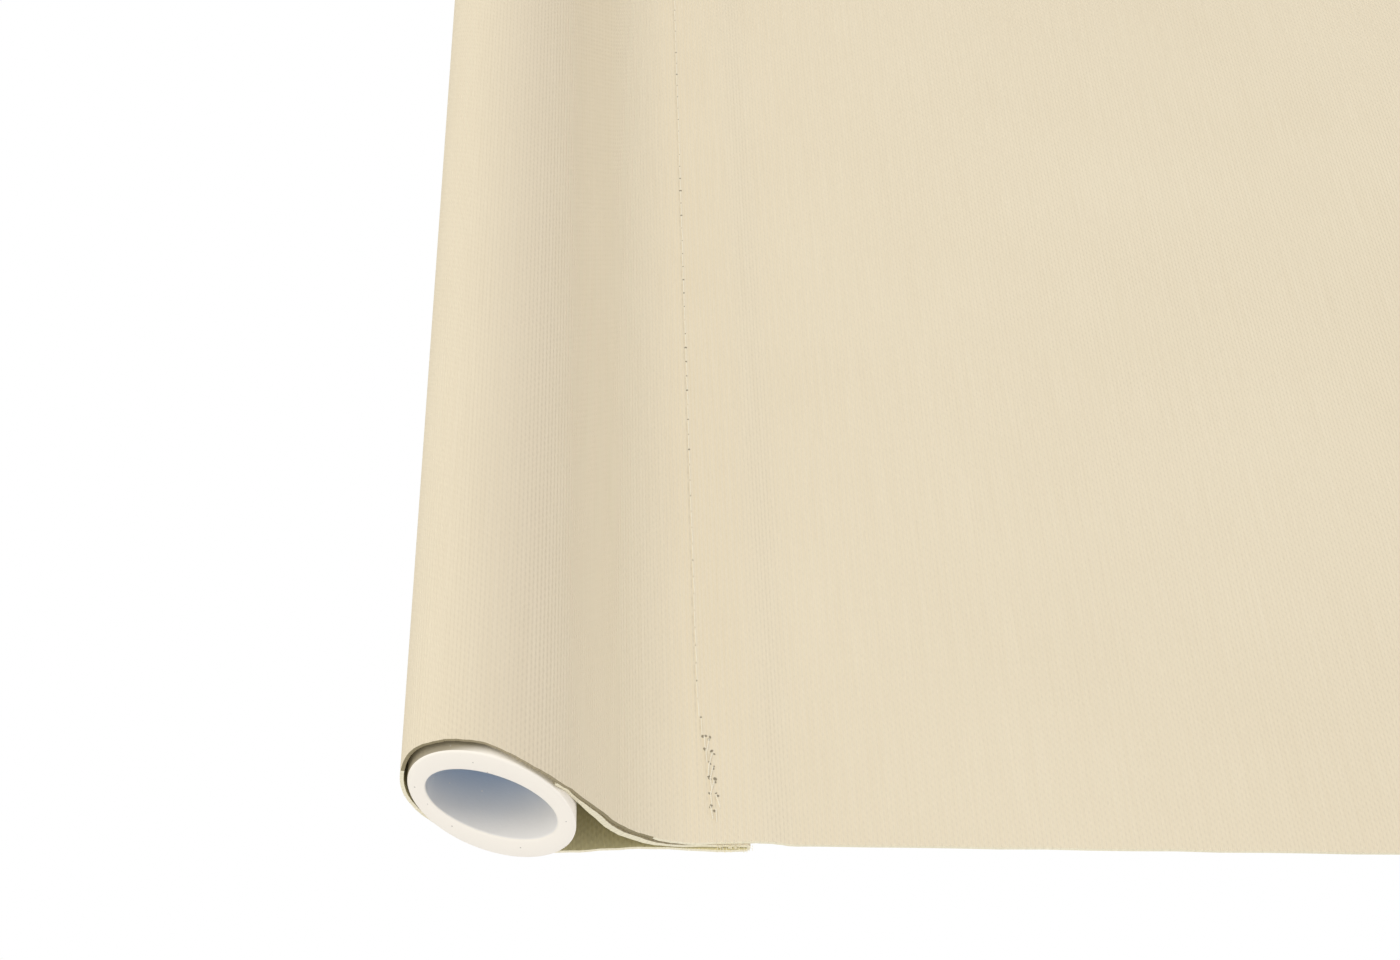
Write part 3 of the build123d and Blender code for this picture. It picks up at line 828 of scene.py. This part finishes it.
def pvcMaterial(name, light, far, stretch, speck, roughness):
    # rigid extruded PVC, slightly glossy, with specks of filler; its tone goes from far to light over
    # that stretch of X, and a darker far colour is painted shade
    material, tree, shader = newMaterial(name, {"Roughness": roughness, "IOR": 1.53})
    start, end = (cloth["right"] + past for past in stretch)
    place = addNode(tree, "ShaderNodeTexCoord")
    split = addNode(tree, "ShaderNodeSeparateXYZ", None, {0: place.outputs["Object"]})
    share = addNode(tree, "ShaderNodeMapRange", {"interpolation_type": "SMOOTHSTEP"},
                    {0: split.outputs[0], 1: start * mm, 2: end * mm, 3: 0.0, 4: 1.0})
    colour = addNode(tree, "ShaderNodeMix", {"data_type": "RGBA"},
                     {0: share.outputs[0], 6: linear(far), 7: linear(light)})
    specks = addNode(tree, "ShaderNodeTexVoronoi", None,
                     {"Vector": place.outputs["Object"], "Scale": tube["speckScale"]})
    specks = addNode(tree, "ShaderNodeMath", {"operation": "LESS_THAN"},
                     {0: specks.outputs["Distance"], 1: tube["speckSize"]})
    colour = addNode(tree, "ShaderNodeMix", {"data_type": "RGBA"},
                     {0: specks.outputs[0], 6: colour.outputs[2], 7: linear(speck)})
    grain = addNode(tree, "ShaderNodeTexNoise", None,
                    {"Vector": place.outputs["Object"], "Scale": tube["grain"], "Detail": 2.0})
    bump = addNode(tree, "ShaderNodeBump", None,
                   {"Height": grain.outputs[0], "Distance": tube["grainDepth"] * mm, "Strength": 0.5})
    tree.links.new(colour.outputs[2], shader.inputs["Base Color"])
    tree.links.new(bump.outputs[0], shader.inputs["Normal"])
    return material


def colourTube(piece, centre):
    # sawn end, bore and outer side are materials of their own
    coat(piece,
         pvcMaterial("sawn_white_pvc", tube["light"], tube["light"], tube["plain"], tube["speck"],
                     tube["plainRoughness"]),
         pvcMaterial("drawn_pvc_bore_painted_shade", tube["mouth"], tube["deep"], tube["boreShade"], tube["mouth"],
                     tube["plainRoughness"]),
         pvcMaterial("white_pvc_painted_cloth_shadow", tube["light"], tube["paintedClothShadow"], tube["paintedClothShadowStretch"], tube["speck"],
                     tube["outerRoughness"]))
    for face in piece.data.polygons:
        out = Vector((0, face.center.y - centre.y, face.center.z - centre.z))
        if abs(face.normal.x) > tube["endFacing"]:
            continue
        face.material_index = 1 if face.normal.dot(out) < 0 else 2


hemTube, tubeCentre = makeHemTube()
colourTube(hemTube, tubeCentre)
print("hem tube made")


# The rest of the cloth, wound on the roller
roll = {
    "axisY": -30.0,
    "inner": 14.2,         # roller tube and tape
    "pitch": 0.57,
    "turns": 11,
    "parts": 18,           # in half a turn
    "columns": 12,
    "stray": 0.28,         # how far the turns run off to the side
    "strayLength": 71.0,   # mm of cloth to a radian of that wandering
    "edgeFacing": 0.5,     # faces of the rim that look less along X than this are the cloth's cut ends
}


def makeRoll():
    half, count = cloth["thickness"] / 2, roll["columns"]
    steps = [("turn", roll["inner"] + half + i * roll["pitch"] / 2, -180, roll["parts"])
             for i in range(2 * roll["turns"])]
    rows = walk((roll["inner"] + half, 0), -math.pi / 2, steps)
    columns = [cloth["left"] + (cloth["right"] - cloth["left"]) * i / count for i in range(count + 1)]
    deselect()
    bpy.ops.mesh.primitive_grid_add(x_subdivisions=count, y_subdivisions=len(rows) - 1, size=2)
    piece = settle("clothRoll")
    flat = {}
    for vertex in piece.data.vertices:
        column = round((vertex.co.x + 1) / 2 * count)
        y, z, length = rows[round((vertex.co.y + 1) / 2 * (len(rows) - 1))]
        near = column / count if column > count / 2 else column / count - 1  # 1 or -1 at the side edges
        x = columns[column] + roll["stray"] * math.sin(length / roll["strayLength"]) * abs(near) ** 3
        flat[vertex.index] = (x, length)
        vertex.co = (x * mm, (roll["axisY"] + y) * mm, z * mm)
    uv = piece.data.uv_layers.active or piece.data.uv_layers.new(name="flatCut")
    for loop in piece.data.loops:
        uv.data[loop.index].uv = flat[loop.vertex_index]
    thicken(piece, backMaterial, faceMaterial, cloth["thickness"])  # the coated side is outermost
    # the roll's side faces keep the dark painted edge shade; the cloth's cut ends are pale
    for face in piece.data.polygons:
        if face.material_index == layers["cutEdge"] and abs(face.normal.x) < roll["edgeFacing"]:
            face.material_index = layers["paleEdge"]
    return piece, rows[-1][2]


clothRoll, woundLength = makeRoll()
print("roll wound,", round(woundLength), "mm of cloth")


# Roller tube
roller = {
    "left": -302.8,
    "right": 305.2,
    "radius": 14.0,
    "wall": 1.2,
    "sides": 72,
    "burr": 0.15,
    "burrSegments": 2,
    "sharpFrom": 50.0,
    "smoothTo": 35.0,
}


def makeRollerTube():
    start = Vector((roller["left"], roll["axisY"], 0)) * mm
    lie = (0, math.pi / 2, 0)
    deselect()
    bpy.ops.mesh.primitive_circle_add(vertices=roller["sides"], radius=roller["radius"] * mm,
                                      location=start, rotation=lie)
    piece = settle("rollerTube")
    bpy.ops.object.mode_set(mode="EDIT")
    bpy.ops.mesh.select_all(action="DESELECT")
    bore = roller["radius"] - roller["wall"]
    bpy.ops.mesh.primitive_circle_add(vertices=roller["sides"], radius=bore * mm, location=start, rotation=lie)
    bpy.ops.mesh.select_all(action="SELECT")
    bpy.ops.mesh.bridge_edge_loops()
    bpy.ops.mesh.select_all(action="SELECT")
    bpy.ops.mesh.extrude_region_move(
        TRANSFORM_OT_translate={"value": ((roller["right"] - roller["left"]) * mm, 0, 0)})
    bpy.ops.mesh.select_all(action="SELECT")
    bpy.ops.mesh.normals_make_consistent(inside=False)
    bpy.ops.object.mode_set(mode="OBJECT")
    roundEdges(piece, roller["burr"], roller["burrSegments"], roller["sharpFrom"], roller["smoothTo"])
    return piece


rollerTube = makeRollerTube()


# Finishes of the roller, its plugs, the mechanism and the brackets
def finish(name, light, dark, settings, pattern, bumpDepth, stretch=(1.0, 1.0, 1.0)):
    # a base colour between two tones, after a noise of that scale, which also lifts the surface (mm)
    material, tree, shader = newMaterial(name, settings)
    place = addNode(tree, "ShaderNodeTexCoord")
    place = addNode(tree, "ShaderNodeMapping", None, {"Vector": place.outputs["Object"], "Scale": stretch})
    noise = addNode(tree, "ShaderNodeTexNoise", None,
                    {"Vector": place.outputs[0], "Scale": pattern, "Detail": 3.0})
    colour = addNode(tree, "ShaderNodeMix", {"data_type": "RGBA"},
                     {0: noise.outputs[0], 6: linear(dark), 7: linear(light)})
    bump = addNode(tree, "ShaderNodeBump", None,
                   {"Height": noise.outputs[0], "Distance": bumpDepth * mm, "Strength": 0.6})
    tree.links.new(colour.outputs[2], shader.inputs["Base Color"])
    tree.links.new(bump.outputs[0], shader.inputs["Normal"])
    return material


metal = {"Metallic": 1.0}
lengthwise = (0.02, 1.0, 1.0)
wireDraw = (8.0, 1.0, 1.0)
# stoved enamel on pressed steel: thick and glossy, with the faint waviness of orange peel
enamel = finish("stoved_white_enamel", "f4f3ee", "efeee8", {"Roughness": 0.28, "Coat Weight": 0.3},
                450.0, 0.02)
# bright zinc plate: cool grey, with small frosty patches
zinc = finish("bright_zinc_plate", "d3d6da", "b9bdc3", {**metal, "Roughness": 0.3}, 900.0, 0.01)
# die-cast zinc, tumbled: duller, with a fine grain
castZinc = finish("tumbled_cast_zinc", "b4b6b8", "9b9da0", {**metal, "Roughness": 0.45}, 1500.0, 0.02)
# moulded nylon: mid grey, slightly waxy
nylon = finish("moulded_grey_nylon", "8f9295", "85888b", {"Roughness": 0.45}, 1200.0, 0.015)
# patented spring wire, oiled: dark, with draw lines
springSteel = finish("drawn_spring_wire", "7d8084", "5f6266", {**metal, "Roughness": 0.35},
                     700.0, 0.01, wireDraw)
# mill-finish aluminium tube: die lines run along it
aluminium = finish("mill_finish_aluminium", "dadcde", "c3c6c9", {**metal, "Roughness": 0.38},
                   500.0, 0.01, lengthwise)
# clear acrylic tape, yellowed a little
tape = finish("clear_acrylic_tape", "efe9d2", "e6dfc4", {"Roughness": 0.2, "Transmission Weight": 0.4},
              300.0, 0.01)

nodeFinish = {
    "slot_bracket": enamel,
    "pin_bracket": enamel,
    "spindle": zinc,
    "gudgeon_pin": zinc,
    "pawl_rivet_upper": zinc,
    "pawl_rivet_lower": zinc,
    "ratchet_collar": castZinc,
    "pawl_upper": castZinc,
    "pawl_lower": castZinc,
    "spring_hub": nylon,
    "spring_anchor": nylon,
    "spring_end_cap": nylon,
    "pin_end_cap": nylon,
    "torsion_spring": springSteel,
    "adhesive_tape": tape,
}
for node, material in nodeFinish.items():
    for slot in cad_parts[node].material_slots:
        slot.material = material
coat(rollerTube, aluminium)
print("finishes on", len(nodeFinish), "nodes")


# What each piece moves with, and which solids it stands for
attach(hemTube, "hem")
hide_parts("hem_tube")
for piece in (seamThread, needleHoles, frayedEnds):
    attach(piece, "hem")
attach(rollerTube, "roller")
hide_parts("roller_tube")
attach(clothRoll, "roller")
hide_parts("cloth_roll")
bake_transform(clothPiece)
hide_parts("cloth_panel", "cloth_hem")
